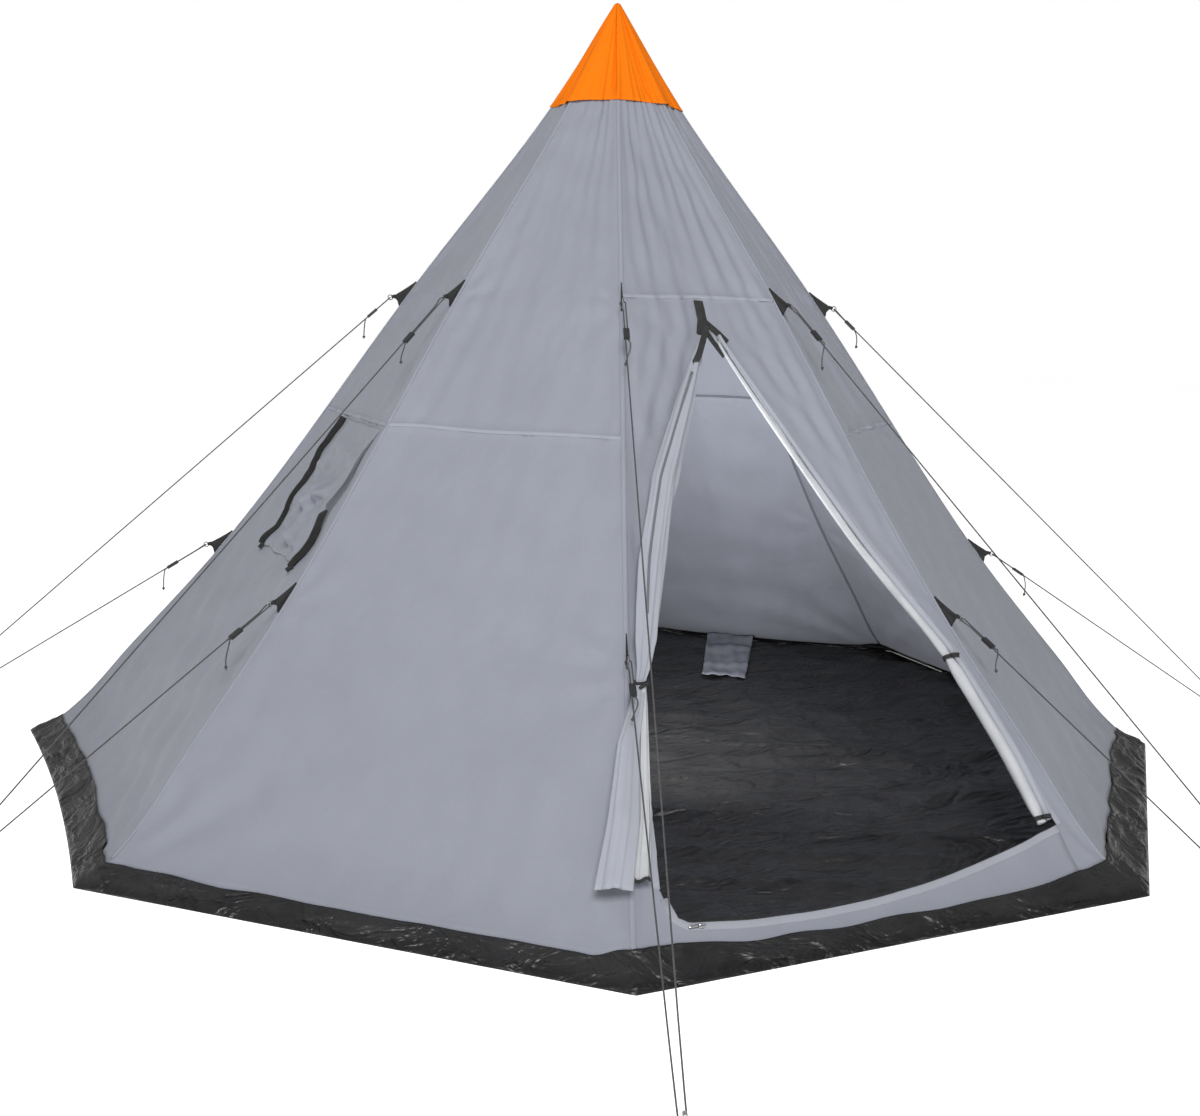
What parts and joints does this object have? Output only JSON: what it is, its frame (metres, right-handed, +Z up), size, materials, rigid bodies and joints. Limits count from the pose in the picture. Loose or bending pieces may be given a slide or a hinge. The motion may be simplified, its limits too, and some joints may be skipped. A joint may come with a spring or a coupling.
{
  "type": "teepee tent",
  "caption": "Eight-sided teepee tent on one centre pole, with a tied-open zipped door, a covered window, a sewn-in groundsheet and pegged guy lines.",
  "frame": {"origin": "on the ground under the centre pole, at the middle of the groundsheet's underside", "axes": "+Z up the pole, -Y out through the door wall, +X to the right of someone who looks at the door from outside"},
  "size_m": [4.6495, 4.7154, 2.48],
  "materials": {
    "grey_polyester": "coated plain-weave polyester, matt, mid grey",
    "orange_polyester": "coated plain-weave polyester, matt, orange",
    "black_polyethylene": "woven polyethylene sheet with a slight gloss, black",
    "black_webbing": "sewn tape and webbing, black",
    "white_net": "fine insect mesh, white",
    "pole_steel": "coated steel tube, light grey",
    "peg_steel": "zinc-plated wire",
    "zip_steel": "bright plated die-cast slider",
    "runner_plastic": "moulded plastic, black",
    "guy_cord": "braided polyester cord, grey",
    "foot_rubber": "moulded rubber, black"
  },
  "bodies": {
    "root": {"wall_front_door": "grey_polyester", "wall_front_right": "grey_polyester", "wall_right": "grey_polyester", "wall_rear_right": "grey_polyester", "wall_rear": "grey_polyester", "wall_rear_left": "grey_polyester", "wall_left_window": "grey_polyester", "wall_front_left": "grey_polyester", "peak_cap": "orange_polyester", "groundsheet_floor": "black_polyethylene", "groundsheet_band": "black_polyethylene", "ridge_seam_front_left": "black_webbing", "ridge_seam_front_right": "black_webbing", "ridge_seam_right_front": "black_webbing", "ridge_seam_right_rear": "black_webbing", "ridge_seam_rear_right": "black_webbing", "ridge_seam_rear_left": "black_webbing", "ridge_seam_left_rear": "black_webbing", "ridge_seam_left_front": "black_webbing", "guy_line_front_left": "guy_cord", "guy_line_front_right": "guy_cord", "guy_line_right_front": "guy_cord", "guy_line_right_rear": "guy_cord", "guy_line_rear_right": "guy_cord", "guy_line_rear_left": "guy_cord", "guy_line_left_rear": "guy_cord", "guy_line_left_front": "guy_cord", "guy_peg_front_left": "peg_steel", "guy_peg_front_right": "peg_steel", "guy_peg_right_front": "peg_steel", "guy_peg_right_rear": "peg_steel", "guy_peg_rear_right": "peg_steel", "guy_peg_rear_left": "peg_steel", "guy_peg_left_rear": "peg_steel", "guy_peg_left_front": "peg_steel", "pole_foot": "foot_rubber", "pole_lower": "pole_steel", "pole_middle": "pole_steel", "pole_upper": "pole_steel", "door_leaf_left": "grey_polyester", "door_leaf_right": "white_net", "window_net": "white_net"},
    "window_flap": {"window_flap": "grey_polyester"},
    "zip_slider": {"zip_slider": "zip_steel"},
    "runner_upper_front_left": {"runner_upper_front_left": "runner_plastic"},
    "runner_lower_front_left": {"runner_lower_front_left": "runner_plastic"},
    "runner_upper_front_right": {"runner_upper_front_right": "runner_plastic"},
    "runner_lower_front_right": {"runner_lower_front_right": "runner_plastic"},
    "runner_upper_right_front": {"runner_upper_right_front": "runner_plastic"},
    "runner_lower_right_front": {"runner_lower_right_front": "runner_plastic"},
    "runner_upper_right_rear": {"runner_upper_right_rear": "runner_plastic"},
    "runner_lower_right_rear": {"runner_lower_right_rear": "runner_plastic"},
    "runner_upper_rear_right": {"runner_upper_rear_right": "runner_plastic"},
    "runner_lower_rear_right": {"runner_lower_rear_right": "runner_plastic"},
    "runner_upper_rear_left": {"runner_upper_rear_left": "runner_plastic"},
    "runner_lower_rear_left": {"runner_lower_rear_left": "runner_plastic"},
    "runner_upper_left_rear": {"runner_upper_left_rear": "runner_plastic"},
    "runner_lower_left_rear": {"runner_lower_left_rear": "runner_plastic"},
    "runner_upper_left_front": {"runner_upper_left_front": "runner_plastic"},
    "runner_lower_left_front": {"runner_lower_left_front": "runner_plastic"}
  },
  "joints": [
    {"name": "window_flap_lift", "type": "hinge", "parent": "root", "child": "window_flap", "pos_m": [-0.90065, -0.1, 1.125], "axis": [0, 1, 0], "range_deg": [0, 110]},
    {"name": "zip_slide_along_sill", "type": "hinge", "parent": "root", "child": "zip_slider", "pos_m": [-0.2, 0.25722, 2.05719], "axis": [0, -0.7111, 0.7031], "range_deg": [0, 22.5]},
    {"name": "runner_slide_upper_front_left", "type": "slide", "parent": "root", "child": "runner_upper_front_left", "axis": [-0.2701, -0.7139, -0.6461], "range_m": [-0.085, 0.25]},
    {"name": "runner_slide_lower_front_left", "type": "slide", "parent": "root", "child": "runner_lower_front_left", "axis": [-0.3074, -0.8233, -0.4772], "range_m": [-0.055, 0.2]},
    {"name": "runner_slide_upper_front_right", "type": "slide", "parent": "root", "child": "runner_upper_front_right", "axis": [0.2199, -0.7279, -0.6495], "range_m": [-0.075, 0.25]},
    {"name": "runner_slide_lower_front_right", "type": "slide", "parent": "root", "child": "runner_lower_front_right", "axis": [0.1829, -0.8514, -0.4915], "range_m": [-0.055, 0.2]},
    {"name": "runner_slide_upper_right_front", "type": "slide", "parent": "root", "child": "runner_upper_right_front", "axis": [0.7004, -0.2468, -0.6698], "range_m": [-0.025, 0.25]},
    {"name": "runner_slide_lower_right_front", "type": "slide", "parent": "root", "child": "runner_lower_right_front", "axis": [0.8031, -0.267, -0.5327], "range_m": [-0.065, 0.2]},
    {"name": "runner_slide_upper_right_rear", "type": "slide", "parent": "root", "child": "runner_upper_right_rear", "axis": [0.6998, 0.2652, -0.6633], "range_m": [-0.075, 0.25]},
    {"name": "runner_slide_lower_right_rear", "type": "slide", "parent": "root", "child": "runner_lower_right_rear", "axis": [0.812, 0.2716, -0.5165], "range_m": [-0.055, 0.2]},
    {"name": "runner_slide_upper_rear_right", "type": "slide", "parent": "root", "child": "runner_upper_rear_right", "axis": [0.2667, 0.7012, -0.6612], "range_m": [-0.055, 0.25]},
    {"name": "runner_slide_lower_rear_right", "type": "slide", "parent": "root", "child": "runner_lower_rear_right", "axis": [0.3035, 0.8028, -0.5132], "range_m": [-0.075, 0.2]},
    {"name": "runner_slide_upper_rear_left", "type": "slide", "parent": "root", "child": "runner_upper_rear_left", "axis": [-0.2568, 0.703, -0.6632], "range_m": [-0.075, 0.25]},
    {"name": "runner_slide_lower_rear_left", "type": "slide", "parent": "root", "child": "runner_lower_rear_left", "axis": [-0.2552, 0.8175, -0.5162], "range_m": [-0.055, 0.2]},
    {"name": "runner_slide_upper_left_rear", "type": "slide", "parent": "root", "child": "runner_upper_left_rear", "axis": [-0.7242, 0.1842, -0.6645], "range_m": [-0.025, 0.25]},
    {"name": "runner_slide_lower_left_rear", "type": "slide", "parent": "root", "child": "runner_lower_left_rear", "axis": [-0.843, 0.144, -0.5183], "range_m": [-0.075, 0.2]},
    {"name": "runner_slide_upper_left_front", "type": "slide", "parent": "root", "child": "runner_upper_left_front", "axis": [-0.6922, -0.2737, -0.6678], "range_m": [-0.125, 0.25]},
    {"name": "runner_slide_lower_left_front", "type": "slide", "parent": "root", "child": "runner_lower_left_front", "axis": [-0.8007, -0.2892, -0.5246], "range_m": [-0.075, 0.2]}
  ]
}
